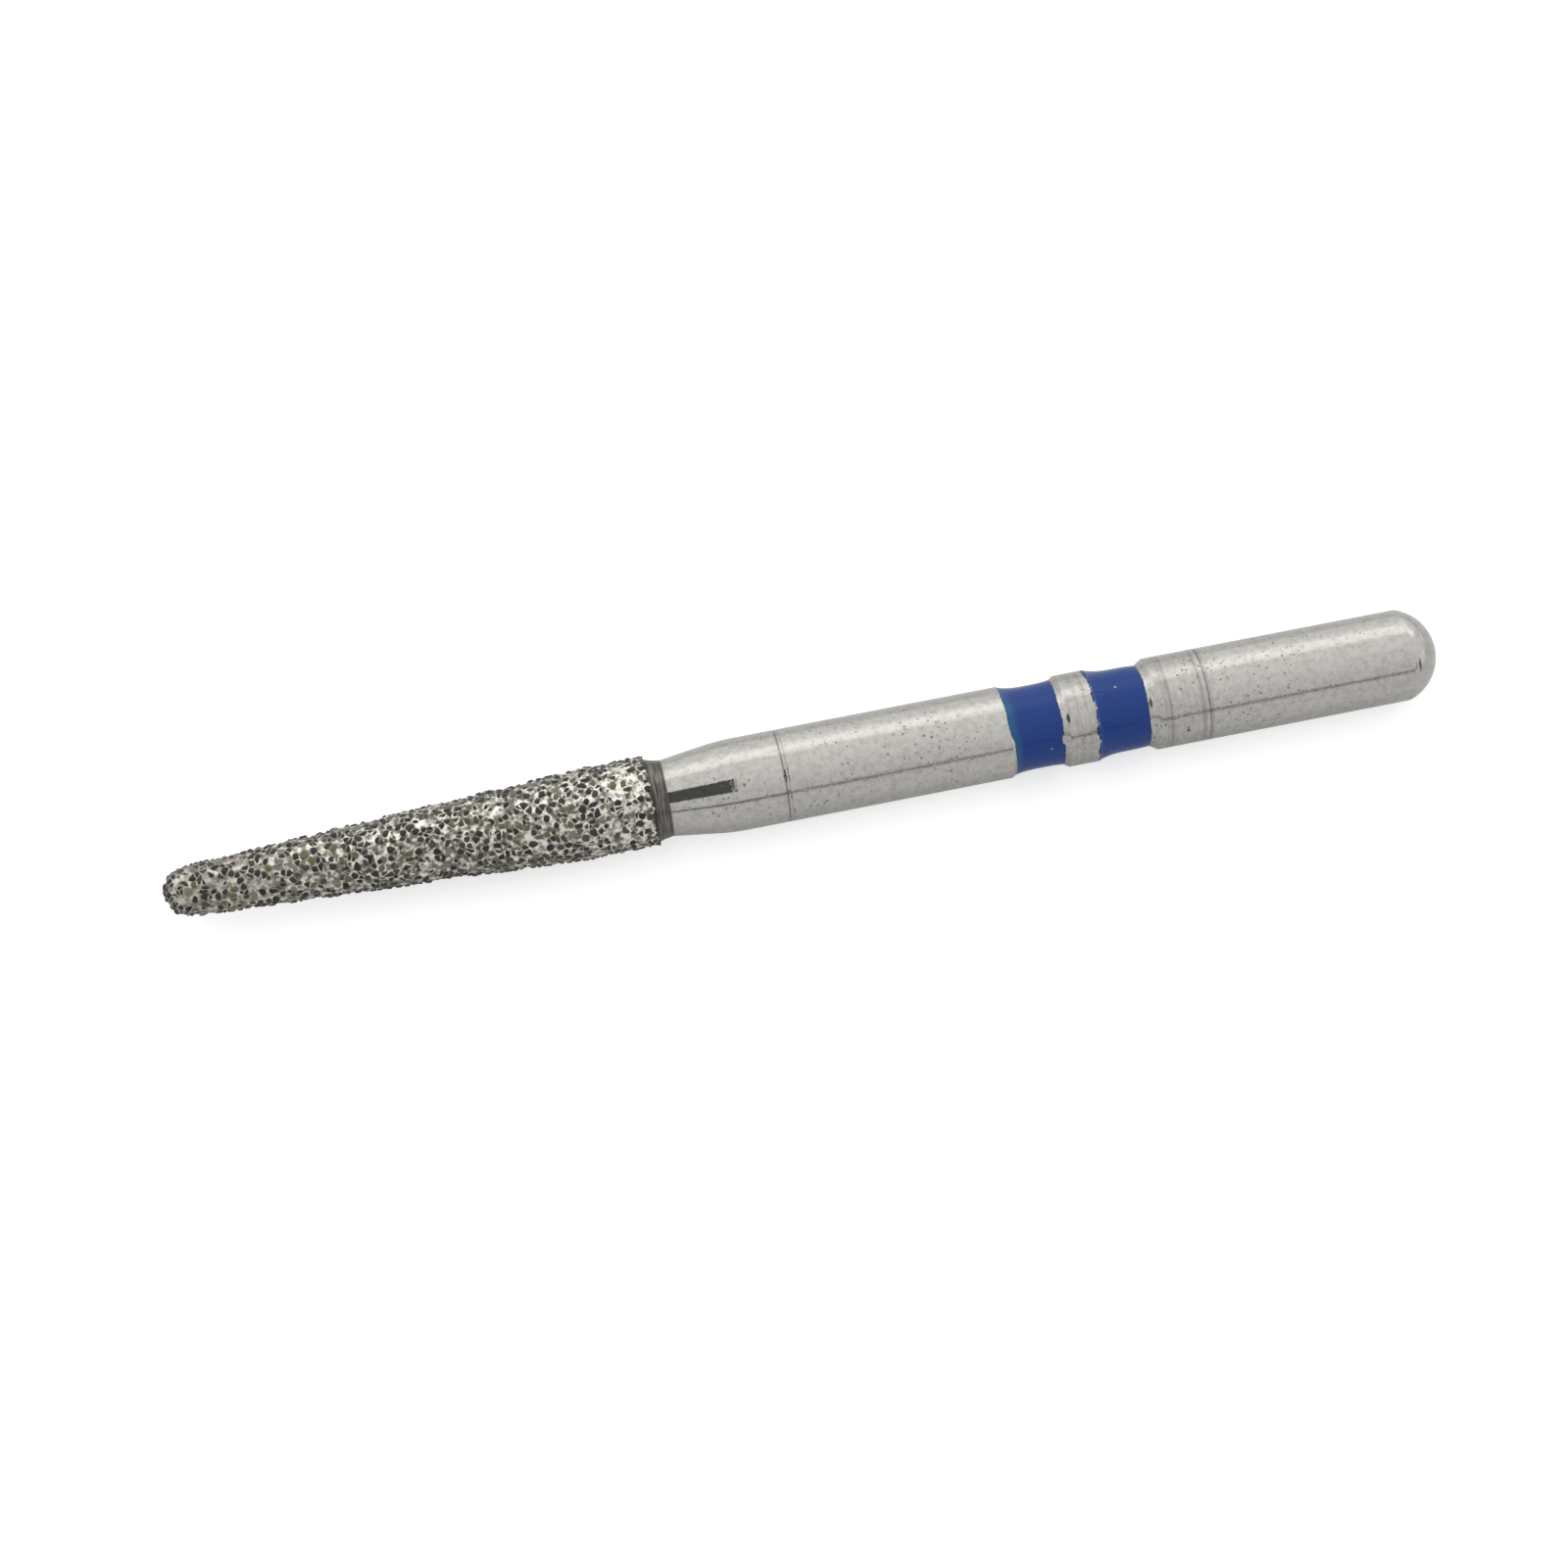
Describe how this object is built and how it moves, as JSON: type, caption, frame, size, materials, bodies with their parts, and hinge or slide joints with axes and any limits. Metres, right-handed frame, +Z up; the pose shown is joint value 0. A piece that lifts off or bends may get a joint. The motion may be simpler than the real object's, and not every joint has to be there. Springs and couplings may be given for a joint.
{
  "type": "dental bur",
  "caption": "Friction-grip diamond bur: slim turned steel shank with blue colour rings, waisted neck and a tapered, round-ended head coated in diamond grit.",
  "frame": {"origin": "on the axis, at the middle of the length by which the shank is held", "axes": "+X along the axis towards the end of the shank; the head points to -X; +Z up as the bur lies in the picture"},
  "size_m": [0.0223, 0.0016, 0.0016],
  "materials": {
    "shank_steel": "turned stainless steel, tumbled to a fine satin",
    "diamond_grit": "medium diamond grit held in electroplated nickel",
    "blue_enamel": "glossy blue ring enamel"
  },
  "bodies": {
    "root": {"steel_blank": "shank_steel", "diamond_coat": "diamond_grit", "front_blue_band": "blue_enamel", "rear_blue_band": "blue_enamel"}
  },
  "joints": []
}
